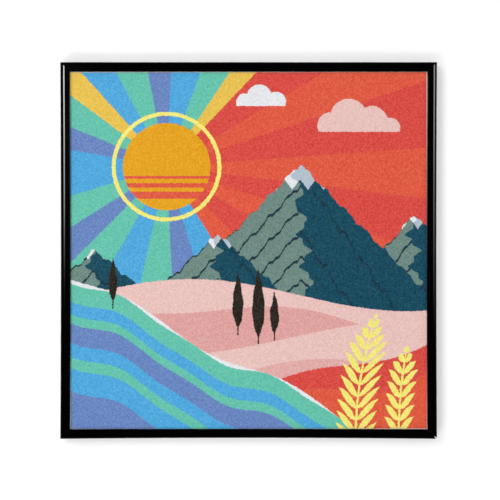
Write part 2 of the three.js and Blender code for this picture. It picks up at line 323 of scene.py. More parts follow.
def clear_acrylic():
    """Clear sheet: what is behind shows through, and it mirrors more at a slant."""
    p = Paint("clear_acrylic")
    x, y, z = p.place()
    place = p.vector(x, y, z)
    hair = p.smooth(p.noise(p.vector(x * 0.05 + z * 0.03, y, z * 0.9), 1900, 1.0), 0.76, 0.82)
    dust = p.smooth(p.cells(place, 300), 0.07, 0.03) * p.smooth(p.noise(place, 90), 0.62, 0.68)
    roughness = 0.03 + 0.02 * p.noise(place, 14) + 0.2 * hair + 0.3 * dust
    mirror = p.node("ShaderNodeBsdfGlossy")
    mirror.inputs["Color"].default_value = grey(0.45)
    p.put(roughness, mirror.inputs["Roughness"])
    through = p.node("ShaderNodeBsdfTransparent")
    through.inputs["Color"].default_value = (0.967, 0.969, 0.968, 1)
    fresnel = p.node("ShaderNodeFresnel")
    fresnel.inputs["IOR"].default_value = 1.49
    inner = Value(p, p.node("ShaderNodeNewGeometry").outputs["Backfacing"])
    share = (1 - inner) * fresnel.outputs[0]
    return p.finish(p.joined(share, through, mirror))


def zinc_steel(name="zinc_steel", tone=1.0):
    """Bright zinc on stamped steel, with a faint cloudy bloom and handling marks."""
    p = Paint(name)
    x, y, z = p.place()
    place = p.vector(x, y, z)
    bloom = p.noise(place, 260, 4.0, 0.6)
    fine = p.noise(place, 2400, 2.0)
    marks = p.smooth(p.noise(p.vector(x * 0.2, y, z), 1500, 2.0), 0.62, 0.72)
    dull = (0.50 * tone, 0.505 * tone, 0.51 * tone, 1)
    bright = (0.70 * tone, 0.70 * tone, 0.69 * tone, 1)
    handled = (0.40, 0.39, 0.38, 1)
    colour = p.mix(bloom, dull, bright)
    colour = p.mix(marks * 0.35, colour, handled)
    roughness = 0.22 + 0.20 * bloom + 0.12 * marks
    normal = p.bump(fine + bloom * 2, 0.000008)
    return p.finish(p.surface(colour, roughness, metallic=1.0, normal=normal))


def fibreboard():
    """Thin hard board: pressed brown fibres, smooth outside, with arcs rubbed by the clips."""
    p = Paint("fibreboard")
    x, y, z = p.place()
    place = p.vector(x, y, z)
    fibres = p.noise(p.vector(x, y, z * 0.35), 700, 5.0, 0.75)
    crossed = p.noise(p.vector(x * 0.35, y, z), 620, 5.0, 0.75)
    cloudy = p.noise(place, 24, 4.0, 0.65)
    matted = p.smooth(p.noise(place, 210, 3.0, 0.7), 0.36, 0.64)
    flecks = p.smooth(p.noise(p.vector(x, y, z * 0.5), 430, 2.0), 0.62, 0.70)
    pale = p.smooth(p.noise(p.vector(x * 0.4, y, z), 480, 2.0), 0.63, 0.72)
    colour = p.mix(p.smooth(fibres, 0.30, 0.70), linear("67432A"), linear("A67A50"))
    colour = p.mix(p.smooth(crossed, 0.35, 0.70) * 0.5, colour, linear("86603C"))
    colour = p.mix(p.smooth(cloudy, 0.35, 0.68) * 0.55, colour, linear("765030"))
    colour = p.mix(matted * 0.35, colour, linear("9A7048"))
    colour = p.mix(flecks * 0.55, colour, linear("432A18"))
    colour = p.mix(pale * 0.4, colour, linear("C39B6B"))
    across = p.math("ABSOLUTE", x)
    up = p.math("ABSOLUTE", z - CENTRE_Z)
    rubbed = None
    for u, v in ((across, up), (up, across)):
        dx = u - CLIP_SPREAD
        dz = v - CLIP_PIVOT
        radius = p.math("SQRT", dx * dx + dz * dz)
        ring = p.smooth(radius, 6.4 * MM, 7.2 * MM) * p.smooth(radius, 11.2 * MM, 10.4 * MM)
        streaks = p.smooth(p.noise(p.vector(radius, 0.0, 0.0), 2600, 2.0), 0.40, 0.62)
        mark = ring * streaks
        rubbed = mark if rubbed is None else rubbed + mark
    rubbed = rubbed * p.smooth(p.noise(place, 160), 0.30, 0.62)
    colour = p.mix(rubbed * 0.45, colour, linear("B89468"))
    facing = p.smooth(p.math("ABSOLUTE", p.normal()[1]), 0.3, 0.7)
    colour = p.mix(facing, linear("5E3F26"), colour)
    roughness = 0.62 + 0.2 * fibres - 0.15 * rubbed
    normal = p.bump(fibres + crossed - flecks * 0.5 - rubbed * 0.5, 0.00006)
    return p.finish(p.surface(colour, roughness, normal=normal))


def kraft_card():
    """Corrugated card: brown paper with fibres, and faint lines over the flutes."""
    p = Paint("kraft_card")
    x, y, z = p.place()
    place = p.vector(x, y, z)
    fibres = p.noise(p.vector(x, y, z * 0.3), 1400, 4.0, 0.7)
    cloudy = p.noise(place, 60, 3.0)
    flutes = 0.5 + 0.5 * p.math("SINE", x * (TURN / FLUTE_PITCH))
    colour = p.mix(fibres, linear("A27D52"), linear("C6A172"))
    colour = p.mix(cloudy * 0.4, colour, linear("B48E60"))
    colour = p.mix(flutes * 0.18, colour, linear("8F6C45"))
    normal = p.bump(fibres + flutes * 0.6, 0.00008)
    return p.finish(p.surface(colour, 0.82 + 0.1 * fibres, normal=normal))


def nylon():
    """Moulded dark nylon with a fine spark finish."""
    p = Paint("nylon")
    x, y, z = p.place()
    place = p.vector(x, y, z)
    spark = p.noise(place, 3200, 3.0, 0.6)
    flow = p.noise(place, 240, 2.0)
    colour = p.mix(flow, (0.028, 0.028, 0.030, 1), (0.045, 0.045, 0.047, 1))
    normal = p.bump(spark, 0.00002)
    return p.finish(p.surface(colour, 0.42 + 0.15 * spark, normal=normal))


class Picture:
    """Layers of flat ink over a field that runs from -1 to 1 across the opening.
    The ink stops a little short of the card's edge, and lies a little askew."""

    edge = 0.0016
    ragged = 0.011
    reach = 156.0 * MM
    askew = 0.0012
    shift = 0.1 * MM
    fade = 0.1 * MM

    def __init__(self, p):
        self.p = p
        x, y, z = p.place()
        place = p.vector(x, y, z)
        self.place = place
        wx, wy, _ = p.split(p.noise(place, 820, 1.0, colour=True))
        up = z - CENTRE_Z
        self.u = x / OPENING_HALF + (wx - 0.5) * self.ragged
        self.v = up / OPENING_HALF + (wy - 0.5) * self.ragged
        level = p.math("ABSOLUTE", up - x * self.askew)
        upright = p.math("ABSOLUTE", x + up * self.askew + self.shift)
        inside = self.reach - p.math("MAXIMUM", level, upright)
        self.inked = p.clamp(inside / self.fade + 0.5)
        self.colour = linear(ART["coral"])

    def mask(self, depth):
        """1 where depth, measured inwards from an edge, is above zero."""
        return self.p.clamp(depth * (1 / self.edge) + 0.5)

    def lay(self, mask, name, strength=1.0):
        if strength != 1.0:
            mask = mask * strength
        self.colour = self.p.mix(mask, self.colour, linear(ART[name]))

    def least(self, *values):
        result = values[0]
        for value in values[1:]:
            result = self.p.math("MINIMUM", result, value)
        return result

    def most(self, *values):
        result = values[0]
        for value in values[1:]:
            result = self.p.math("MAXIMUM", result, value)
        return result

    def wave(self, value, size):
        return self.p.math("SINE", value) * size

    def zigzag(self, value, pitch, size):
        return self.p.math("PINGPONG", value, pitch / 2) * (size / pitch * 2)

    def disc(self, u, v, radius):
        du = self.u - u
        dv = self.v - v
        return radius - self.p.math("SQRT", du * du + dv * dv)

    def bands(self, value, stops, span):
        """Colours picked by value, which runs from 0 to span. stops holds (start, name)."""
        ramp = self.p.node("ShaderNodeValToRGB")
        ramp.color_ramp.interpolation = "CONSTANT"
        marks = ramp.color_ramp.elements
        marks[0].position = 0.0
        marks[0].color = linear(ART[stops[0][1]])
        marks.remove(marks[1])
        for start, name in stops[1:]:
            marks.new(start / span).color = linear(ART[name])
        self.p.put(value * (1 / span), ramp.inputs[0])
        return ramp.outputs[0]

    def sky(self, u, v):
        """Rays round the sun."""
        angle = self.p.math("ARCTAN2", self.v - v, self.u - u) * (360 / TURN) + 180
        self.colour = self.bands(
            angle,
            [
                (0, "blue"), (16, "mint"), (31, "periwinkle"), (45, "mint"), (60, "blue"),
                (76, "mint"), (92, "periwinkle"), (106, "blue"), (121, "orange"), (135, "coral"),
                (149, "orange"), (161, "coral"), (172, "orange"), (184, "coral"),
                (197, "orange"), (210, "coral"), (226, "straw"), (236, "mint"), (250, "blue"),
                (266, "periwinkle"), (281, "mint"), (297, "blue"), (312, "straw"),
                (323, "mint"), (337, "periwinkle"), (350, "blue"),
            ],
            360,
        )

    def sun(self, u, v, radius):
        body = self.disc(u, v, radius)
        self.lay(self.mask(self.least(body + 0.062, -0.040 - body)), "lemon")
        self.lay(self.mask(body), "mustard")
        for height, size in ((-0.06, 0.008), (-0.105, 0.013), (-0.16, 0.02)):
            band = size - self.p.math("ABSOLUTE", self.v - (v + height))
            self.lay(self.mask(self.least(body, band)), "orange")

    def cloud(self, puffs, base, name):
        shape = self.most(*[self.disc(*puff) for puff in puffs])
        self.lay(self.mask(self.least(shape, self.v - base)), name)

    def mountain(self, u, v, slope, cap):
        p = self.p
        away = p.math("ABSOLUTE", self.u - u)
        flat = 1 / math.hypot(1, slope)
        crags = self.zigzag(self.u, 0.11, 0.022) + self.zigzag(self.u + 0.03, 0.047, 0.010)
        inside = (v - self.v - slope * away - crags) * flat
        shape = self.mask(inside)
        fall = self.zigzag(self.v, 0.17, 0.07) + self.zigzag(self.v, 0.063, 0.024)
        lit = self.mask(self.least(inside, u + 0.02 - self.u - fall + (v - self.v) * 0.10))
        self.lay(shape, "teal")
        self.lay(lit, "sage")
        strata = p.math("PINGPONG", inside + self.v * 0.02, 0.045) - 0.0052
        self.lay(self.least(lit, self.mask(-strata)), "navy")
        folds = p.math("PINGPONG", inside + self.v * 0.35 + self.u * 0.2, 0.06) - 0.0035
        dark = self.mask(self.least(inside, folds * -1.0))
        self.lay(dark * (1 - lit), "navy", 0.7)
        line = self.v - (v - cap) - self.zigzag(self.u + 0.02, 0.088, 0.06)
        snow = self.least(shape, self.mask(line))
        self.lay(snow, "shade")
        self.lay(self.least(snow, lit), "cloud")

    def land(self, top, name):
        depth = top - self.v
        self.lay(self.mask(depth), name)
        return depth

    def tree(self, u, v, height, width):
        tall = self.p.clamp((self.v - v) * (1 / height))
        taper = tall * (1 - tall) * (1.35 - tall * 0.9) * 2.6
        sway = self.wave(self.v * 60, 0.002)
        leaf = width * taper - self.p.math("ABSOLUTE", self.u - u - sway) - 0.001
        self.lay(self.mask(leaf), "umber")
        post = 0.004 - self.p.math("ABSOLUTE", self.u - u)
        trunk = self.least(post, self.v - (v - 0.035), v + 0.03 - self.v)
        self.lay(self.mask(trunk), "umber")

    def sprig(self, u, v, height, lean, reach, name):
        p = self.p
        tall = (self.v - v) * (1 / height)
        stem = self.u - u - lean * tall * tall
        off = p.math("ABSOLUTE", stem)
        left = (1 - tall) * height
        above = p.math("MAXIMUM", -left, 0.0)
        self.lay(self.mask(0.0062 * p.clamp(left * 6 + 0.25) - off - above), name)
        pitch = 0.066
        slanted = p.math("PINGPONG", self.v - v - off * 1.05, pitch / 2)
        leaf_reach = p.math("MINIMUM", reach, left * 0.62 + 0.006)
        share = p.clamp(off / leaf_reach)
        beyond = p.math("MAXIMUM", off - leaf_reach, 0.0)
        thick = share * (1 - share) * (1.25 - share * 0.5) * 0.104 - beyond
        leaf = self.least(thick - (pitch / 2 - slanted), left - 0.01)
        self.lay(self.mask(leaf * 0.69), name)


def printed_card():
    """The insert: a landscape of the builder's own in flat inks on grained card.
    Its back is bare."""
    p = Paint("printed_card")
    art = Picture(p)
    art.sky(-0.46, 0.47)
    art.cloud(
        [(0.46, 0.70, 0.075), (0.56, 0.745, 0.105), (0.69, 0.72, 0.09), (0.79, 0.685, 0.06)],
        0.665,
        "pink",
    )
    art.cloud([(-0.02, 0.83, 0.05), (0.06, 0.86, 0.07), (0.155, 0.835, 0.055)], 0.81, "cloud")
    art.sun(-0.46, 0.47, 0.245)
    art.mountain(0.93, 0.22, 1.15, 0.10)
    art.mountain(0.29, 0.50, 1.02, 0.16)
    art.mountain(-0.86, 0.02, 0.85, 0.07)
    art.mountain(-0.17, 0.11, 0.92, 0.10)
    far = art.land(-0.25 + art.wave(art.u * 2.6 + 2.4, 0.09), "pink")
    art.lay(art.mask(art.least(far - 0.13 + art.wave(art.u * 4.1, 0.06), far)), "rose")
    near = art.land(-0.49 + art.wave(art.u * 2.2 - 0.5, 0.10), "pink")
    art.lay(art.mask(near - 0.20 + art.wave(art.u * 3.6 + 1.0, 0.07)), "rose", 0.75)
    front = art.land(-0.83 + art.u * 0.34 + art.wave(art.u * 5.0 + 0.4, 0.05), "coral")
    art.lay(art.mask(front - 0.14 + art.wave(art.u * 6.0, 0.04)), "orange")
    shore = -0.66 - art.u * 0.52 + art.wave(art.u * 7.0, 0.035)
    water = art.land(shore, "cloud")
    swell = water - 0.012 + art.wave(art.u * 15.0, 0.012)
    stripes = art.bands(
        swell,
        [
            (0, "mint"), (0.10, "blue"), (0.17, "mint"), (0.22, "periwinkle"), (0.33, "blue"),
            (0.41, "mint"), (0.47, "blue"), (0.60, "periwinkle"),
        ],
        1.0,
    )
    art.colour = p.mix(art.mask(swell), art.colour, stripes)
    art.tree(-0.06, -0.44, 0.33, 0.050)
    art.tree(0.055, -0.49, 0.40, 0.058)
    art.tree(0.145, -0.47, 0.25, 0.042)
    art.tree(-0.76, -0.29, 0.26, 0.040)
    art.sprig(0.60, -1.05, 0.70, 0.12, 0.115, "lemon")
    art.sprig(0.84, -1.05, 0.52, 0.05, 0.082, "lemon")
    grain = p.noise(art.place, 900, 3.0, 0.8)
    weave = p.noise(art.place, 380, 2.0, 0.6)
    ink = p.speckled(art.colour, (grain - 0.5) * 0.46 + (weave - 0.5) * 0.06)
    facing = p.smooth(-p.normal()[1], 0.4, 0.6)
    bare = p.mix(weave, linear("DCD8D0"), linear("E8E5DE"))
    colour = p.mix(facing * art.inked, bare, ink)
    normal = p.bump(grain, 0.00003)
    card = p.surface(colour, 0.62 + 0.1 * weave, normal=normal)
    card.inputs["Specular IOR Level"].default_value = 0.2
    return p.finish(card)


# Mesh toolkit


def arc(x, y, radius, start, end, steps):
    points = []
    for i in range(steps + 1):
        angle = start + (end - start) * i / steps
        points.append((x + radius * math.cos(angle), y + radius * math.sin(angle)))
    return points


def piece(name, bm, material, body, replaced):
    bmesh.ops.recalc_face_normals(bm, faces=bm.faces)
    mesh = bpy.data.meshes.new(name)
    bm.to_mesh(mesh)
    bm.free()
    mesh.materials.append(material)
    made = bpy.data.objects.new(name, mesh)
    bpy.context.scene.collection.objects.link(made)
    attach(made, body)
    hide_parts(replaced)
    return made


def soften(bm, angle):
    """Smooth shading, kept apart at edges sharper than angle."""
    for face in bm.faces:
        face.smooth = True
    for edge in bm.edges:
        if len(edge.link_faces) != 2 or edge.calc_face_angle(0) > angle:
            edge.smooth = False


def rail_section():
    """Section of the moulding, from the outer edge inwards."""
    back = 0.4 * MM
    shoulder = 4.2 * MM
    lip = 0.6 * MM
    return [
        *arc(back, -back, back, QUARTER, math.pi, 5),
        *arc(shoulder, FACE_Y + shoulder, shoulder, math.pi, math.pi + QUARTER, 24),
        *arc(FACE_WIDTH - lip, FACE_Y + lip, lip, -QUARTER, 0, 8),
        (FACE_WIDTH, LIP_BACK_Y),
        (RABBET_WALL, LIP_BACK_Y),
        (RABBET_WALL, GROOVE_FRONT_Y),
        (GROOVE_FLOOR, GROOVE_FRONT_Y),
        (GROOVE_FLOOR, GROOVE_BACK_Y),
        (RABBET_WALL, GROOVE_BACK_Y),
        *arc(RABBET_WALL - back, -back, back, 0, QUARTER, 5),
    ]


def hollow_section():
    left, right, front, back = HOLLOW
    r = 0.25 * MM
    return [
        *arc(right - r, front + r, r, -QUARTER, 0, 4),
        *arc(right - r, back - r, r, 0, QUARTER, 4),
        *arc(left + r, back - r, r, QUARTER, math.pi, 4),
        *arc(left + r, front + r, r, math.pi, math.pi + QUARTER, 4),
    ]


CLOSED_MITRE = 0.002 * MM
OPEN_MITRE = 0.9 * MM
OPEN_REACH = 3.6 * MM
BACK_MITRE = 0.16 * MM
BACK_REACH = 0.5 * MM
WIDE_FACE = 0.5 * MM
BOWS = {
    "top": (0.0, 0.0),
    "right": (0.5 * MM, 0.5 * MM),
    "bottom": (0.9 * MM, 0.3 * MM),
    "left": (0.5 * MM, 0.5 * MM),
}
RAIL_STEPS = 24


def rail(name, turn, upright, openings, bow):
    """One mitred rail. openings holds how far each end's mitre stands open at its outer corner.
    bow holds how far the outer and the inner edge are drawn in at mid length.
    The hollow stays straight."""
    bm = bmesh.new()
    loops = []
    straight = (0.0, 0.0)
    for section, (outer, inner) in ((rail_section(), bow), (hollow_section(), straight)):
        rings = []
        for k in range(RAIL_STEPS + 1):
            along = 2 * k / RAIL_STEPS - 1
            middle = 1 - along * along
            opening = {0: openings[0], RAIL_STEPS: openings[1]}.get(k, 0.0)
            ring = []
            for a, y in section:
                inwards = middle * (outer + (inner - outer) * min(1.0, a / RABBET_WALL))
                cut = CLOSED_MITRE + opening * max(0.0, 1 - a / OPEN_REACH)
                cut += BACK_MITRE * max(0.0, 1 + y / BACK_REACH)
                ring.append(bm.verts.new((along * (HALF_SIDE - a - cut), y, HALF_SIDE - a - inwards)))
            rings.append(ring)
        loops.append(rings)
        for low, high in zip(rings, rings[1:]):
            for i in range(len(section)):
                j = (i + 1) % len(section)
                bm.faces.new((low[i], low[j], high[j], high[i]))
    for end in (0, -1):
        rim = []
        for rings in loops:
            ring = rings[end]
            for i, vert in enumerate(ring):
                rim.append(bm.edges.get((vert, ring[(i + 1) % len(ring)])))
        bmesh.ops.triangle_fill(bm, edges=rim, use_beauty=True)
    bmesh.ops.recalc_face_normals(bm, faces=bm.faces)
    soften(bm, math.radians(25))
    for section, rings in zip((rail_section(), hollow_section()), loops):
        count = len(section)
        lengths = [math.dist(section[i], section[(i + 1) % count]) for i in range(count)]
        for i in range(count):
            if (lengths[i] > WIDE_FACE) != (lengths[i - 1] > WIDE_FACE):
                for low, high in zip(rings, rings[1:]):
                    bm.edges.get((low[i], high[i])).smooth = False
    bm.transform(Matrix.Translation((0, 0, CENTRE_Z)) @ Matrix.Rotation(turn, 4, "Y"))
    material = UPRIGHT_BLACK if upright else LEVEL_BLACK
    return piece("moulding_" + name, bm, material, "frame", "rail_" + name)


def inset(outline, distance):
    """The outline, which runs anticlockwise, moved inwards."""
    moved = []
    count = len(outline)
    for i in range(count):
        a, b, c = (Vector(outline[k % count]) for k in (i - 1, i, i + 1))
        before = (b - a).normalized()
        after = (c - b).normalized()
        n1 = Vector((-before.y, before.x))
        n2 = Vector((-after.y, after.x))
        mid = n1 + n2
        mid.normalize()
        moved.append(tuple(b + mid * distance / max(0.35, mid.dot(n1))))
    return moved


def spaced(outline, step):
    """The outline with points no further apart than step."""
    points = []
    for i, a in enumerate(outline):
        b = outline[(i + 1) % len(outline)]
        length = math.dist(a, b)
        if length < 1e-9:
            continue
        count = max(1, math.ceil(length / step))
        for k in range(count):
            points.append((a[0] + (b[0] - a[0]) * k / count, a[1] + (b[1] - a[1]) * k / count))
    return points


def stamped(outline, holes, rim, cuts):
    """Sheet metal from y = 0 to METAL, its rim rounded.
    cuts holds (point, normal) of the planes that it bends at."""
    bm = bmesh.new()
    steps = 3
    rings = []
    for i in range(steps + 1):
        angle = QUARTER * i / steps
        rings.append((rim * (1 - math.sin(angle)), rim * (1 - math.cos(angle))))
    rings += [(offset, METAL - depth) for offset, depth in reversed(rings)]
    walls = []
    walls.append([
        [bm.verts.new((x, depth, z)) for x, z in inset(outline, offset)]
        for offset, depth in rings
    ])
    for cx, cz, radius in holes:
        walls.append([
            [bm.verts.new((x, depth, z)) for x, z in arc(cx, cz, radius + offset, TURN, 0, 40)[:-1]]
            for offset, depth in rings
        ])
    for wall in walls:
        for ring, following in zip(wall, wall[1:]):
            for i in range(len(ring)):
                j = (i + 1) % len(ring)
                bm.faces.new((ring[i], ring[j], following[j], following[i]))
    for end in (0, -1):
        border = []
        for wall in walls:
            ring = wall[end]
            for i, vert in enumerate(ring):
                border.append(bm.edges.get((vert, ring[(i + 1) % len(ring)])))
        bmesh.ops.triangle_fill(bm, edges=border, use_beauty=True)
    bmesh.ops.recalc_face_normals(bm, faces=bm.faces)
    for point, normal in cuts:
        everything = [*bm.verts, *bm.edges, *bm.faces]
        bmesh.ops.bisect_plane(bm, geom=everything, plane_co=point, plane_no=normal, dist=1e-7)
    for face in bm.faces:
        face.smooth = True
    bm.normal_update()
    for edge in bm.edges:
        flats = [abs(face.normal.y) > 0.999 for face in edge.link_faces]
        alike = len(flats) == 2 and flats[0] == flats[1]
        edge.smooth = alike and edge.calc_face_angle(0) < math.radians(40)
    return bm


def ease(share):
    s = min(max(share, 0.0), 1.0)
    return s * s * (3 - 2 * s)


HUB = 6.5 * MM
TIP_REACH = 16.95 * MM
TAIL_REACH = 11 * MM
JOGGLE = 3 * MM
TIP_LIFT = 0.6 * MM
TAIL_LIFT = 1.5 * MM
ARM_SHARE = 0.66
TAIL_SHARE = 0.56
HOLE = 1.6 * MM


def clip_outline():
    arm = ARM_SHARE * HUB
    tail = TAIL_SHARE * HUB
    r = 1.5 * MM
    arm_angle = math.acos(ARM_SHARE)
    tail_angle = math.acos(TAIL_SHARE)
    return spaced(
        [
            *arc(arm - r, TIP_REACH - r, r, 0, QUARTER, 8),
            *arc(-arm + r, TIP_REACH - r, r, QUARTER, math.pi, 8),
            *arc(0, 0, HUB, math.pi - arm_angle, math.pi + tail_angle, 24),
            *arc(-tail + r, -TAIL_REACH + r, r, math.pi, math.pi + QUARTER, 8),
            *arc(tail - r, -TAIL_REACH + r, r, -QUARTER, 0, 8),
            *arc(0, 0, HUB, -tail_angle, arm_angle, 24),
        ],
        1.0 * MM,
    )


def clip_lift(z):
    tip = TIP_LIFT * ease((z - HUB) / JOGGLE)
    tail = TAIL_LIFT * ease((-z - HUB) / (TAIL_REACH - HUB))
    return tip + tail


def clip(name, turn, x, z):
    steps = 10
    cuts = []
    for i in range(steps + 1):
        cuts.append(HUB + JOGGLE * i / steps)
        cuts.append(-HUB - (TAIL_REACH - HUB) * i / steps)
    planes = [((0, 0, c), (0, 0, 1)) for c in sorted(cuts)[1:]]
    bm = stamped(clip_outline(), [(0, 0, HOLE)], 0.16 * MM, planes)
    for vert in bm.verts:
        vert.co.y += clip_lift(vert.co.z)
    bm.transform(Matrix.Translation((x, CLIP_FRONT_Y, z)) @ Matrix.Rotation(turn, 4, "Y"))
    return piece("clip_plate_" + name, bm, ZINC, "clip_" + name, "turn_clip_" + name)


def rivet(name, replaced, x, z, head_seat):
    """A tubular rivet: rolled end in the board's front, domed head at the back."""
    rolled = BOARD_FRONT_Y + 0.15 * MM
    rim = rolled + 0.3 * MM
    bore_end = rolled + 1.8 * MM
    shank = 1.5 * MM
    head = 3 * MM
    flare = 2.4 * MM
    bore = 0.9 * MM
    height = 1.1 * MM
    lip = 0.18 * MM
    dome = []
    dome_steps = 12
    for i in range(1, dome_steps + 1):
        angle = QUARTER * i / dome_steps
        rise = (height - lip) * math.sin(angle)
        dome.append((head * math.cos(angle), head_seat + lip + rise))
    profile = [
        (0, bore_end),
        (bore, bore_end),
        (bore, rolled + lip),
        *arc(bore + lip, rolled + lip, lip, math.pi, math.pi + QUARTER, 4),
        *arc(flare - lip, rolled + lip, lip, -QUARTER, 0, 4),
        (flare, rim),
        (shank, rim + flare - shank),
        (shank, head_seat),
        *arc(head - lip, head_seat + lip, lip, -QUARTER, 0, 4),
        *dome,
    ]
    bm = bmesh.new()
    count = 48
    rings = []
    for r, y in profile:
        if r < 1e-7:
            rings.append([bm.verts.new((0, y, 0))])
            continue
        rings.append([
            bm.verts.new((r * math.cos(TURN * i / count), y, r * math.sin(TURN * i / count)))
            for i in range(count)
        ])
    for low, high in zip(rings, rings[1:]):
        for i in range(count):
            j = (i + 1) % count
            if len(low) == 1:
                bm.faces.new((low[0], high[j], high[i]))
            elif len(high) == 1:
                bm.faces.new((low[i], low[j], high[0]))
            else:
                bm.faces.new((low[i], low[j], high[j], high[i]))
    bmesh.ops.remove_doubles(bm, verts=bm.verts, dist=1e-7)
    bmesh.ops.recalc_face_normals(bm, faces=bm.faces)
    soften(bm, math.radians(35))
    bm.transform(Matrix.Translation((x, 0, z)))
    return piece(name, bm, RIVET_ZINC, "frame", replaced)


NOTCHES = 11
PITCH = 2.2 * MM
NOTCH_DEPTH = 1.8 * MM
RAMP = 3 * MM


def hanger_outline():
    toothed = NOTCHES * PITCH / 2
    low = HANGER_LOW
    r = 5.5 * MM
    flat = 0.12 * MM
    deep = low + NOTCH_DEPTH - 0.05 * MM
    points = []
    for k in range(NOTCHES):
        x = -toothed + k * PITCH
        middle = x + PITCH / 2
        points += [(x, low), (middle - flat, deep), (middle + flat, deep)]
    return spaced(
        [
            *points,
            (toothed, low),
            *arc(HANGER_RIVET_X, HANGER_Z, r, -QUARTER, QUARTER, 24),
            *arc(-HANGER_RIVET_X, HANGER_Z, r, QUARTER, math.pi + QUARTER, 24),
        ],
        1.0 * MM,
    )


def hanger():
    toothed = NOTCHES * PITCH / 2
    ramp_end = toothed + RAMP
    steps = 10
    cuts = [s * (toothed + RAMP * i / steps) for s in (-1, 1) for i in range(steps + 1)]
    planes = [((c, 0, 0), (1, 0, 0)) for c in sorted(cuts)]
    holes = [(-HANGER_RIVET_X, HANGER_Z, HOLE), (HANGER_RIVET_X, HANGER_Z, HOLE)]
    bm = stamped(hanger_outline(), holes, 0.10 * MM, planes)
    for vert in bm.verts:
        vert.co.y += HANGER_FRONT_Y + HANGER_RAISE * ease((ramp_end - abs(vert.co.x)) / RAMP)
    return piece("hanger_plate", bm, ZINC, "frame", "sawtooth_hanger")


# The object

LEVEL_BLACK = gloss_black("gloss_black_level", False)
UPRIGHT_BLACK = gloss_black("gloss_black_upright", True)
ZINC = zinc_steel()
RIVET_ZINC = zinc_steel("rivet_zinc", 0.94)

CARRIED_OVER = {
    "clear_front": clear_acrylic(),
    "insert_print": printed_card(),
    "filler_board": kraft_card(),
    "backing_board": fibreboard(),
}
nylon_material = nylon()
for node_name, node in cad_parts.items():
    if node_name.startswith("corner_key_"):
        CARRIED_OVER[node_name] = nylon_material
for node_name, material in CARRIED_OVER.items():
    for material_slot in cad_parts[node_name].material_slots:
        material_slot.material = material

SIDES = [
    ("top", 0.0, False, ("left", "right")),
    ("right", QUARTER, True, ("top", "bottom")),
    ("bottom", 2 * QUARTER, False, ("right", "left")),
    ("left", -QUARTER, True, ("bottom", "top")),
]
for side_name, turn, upright, ends in SIDES:
    openings = []
    for end in ends:
        openings.append(OPEN_MITRE if {side_name, end} == {"bottom", "right"} else 0.0)
    rail(side_name, turn, upright, openings, BOWS[side_name])
    for i, end in enumerate(ends):
        along = (2 * i - 1) * CLIP_SPREAD
        turned = Matrix.Rotation(turn, 4, "Y") @ Vector((along, 0, CLIP_PIVOT))
        place_name = side_name + "_" + end
        x, z = turned.x, CENTRE_Z + turned.z
        clip(place_name, turn, x, z)
        rivet("rivet_" + place_name, "clip_rivet_" + place_name, x, z, CLIP_HEAD_SEAT)
hanger()
for side_name, sign in (("left", -1), ("right", 1)):
    x = sign * HANGER_RIVET_X
    rivet("hanger_stud_" + side_name, "hanger_rivet_" + side_name, x, HANGER_Z, HANGER_HEAD_SEAT)


# Stage: wall, floor, light and camera


def pale_paint(name, shade, glow, fade):
    """Pale paint that turns into the white around it between the two distances in fade.
    It is open from behind so that the frame's back can be seen."""
    p = Paint(name)
    x, y, z = p.place()
    tone = p.noise(p.vector(x, y, z), 6, 3.0)
    diffuse = p.node("ShaderNodeBsdfDiffuse")
    p.put(p.mix(tone, grey(shade - 0.01), grey(shade + 0.01)), diffuse.inputs["Color"])
    lift = p.emission(grey(1), glow)
    both = p.node("ShaderNodeAddShader")
    p.tree.links.new(diffuse.outputs[0], both.inputs[0])
    p.tree.links.new(lift.outputs[0], both.inputs[1])
    height = z - CENTRE_Z
    away = p.math("SQRT", x * x + y * y + height * height)
    faded = p.joined(p.smooth(away, *fade), both, p.emission(grey(1), 1.0))
    behind = p.node("ShaderNodeNewGeometry").outputs["Backfacing"]
    return p.finish(p.joined(behind, faded, p.node("ShaderNodeBsdfTransparent")))


def sheet(name, corners, material):
    mesh = bpy.data.meshes.new(name)
    mesh.from_pydata(corners, [], [tuple(range(len(corners)))])
    mesh.materials.append(material)
    made = bpy.data.objects.new(name, mesh)
    bpy.context.scene.collection.objects.link(made)
    return made


def only_seen(obj, camera=False, glossy=False):
    obj.visible_camera = camera
    obj.visible_glossy = glossy
    obj.visible_diffuse = False
    obj.visible_transmission = False
    obj.visible_volume_scatter = False
    obj.visible_shadow = False


WALL_Y = 0.0004
FLOOR_Z = CENTRE_Z - 1.45
wall = sheet(
    "wall",
    [(-4, WALL_Y, FLOOR_Z), (4, WALL_Y, FLOOR_Z), (4, WALL_Y, 2.6), (-4, WALL_Y, 2.6)],
    pale_paint("pale_wall", 0.80, 0.10, (0.42, 0.95)),
)
only_seen(wall, camera=True)
floor = sheet(
    "floor",
    [(-6, -8, FLOOR_Z), (6, -8, FLOOR_Z), (6, 8, FLOOR_Z), (-6, 8, FLOOR_Z)],
    pale_paint("pale_floor", 0.70, 0.62, (2.2, 5.0)),
)
only_seen(floor, camera=True)


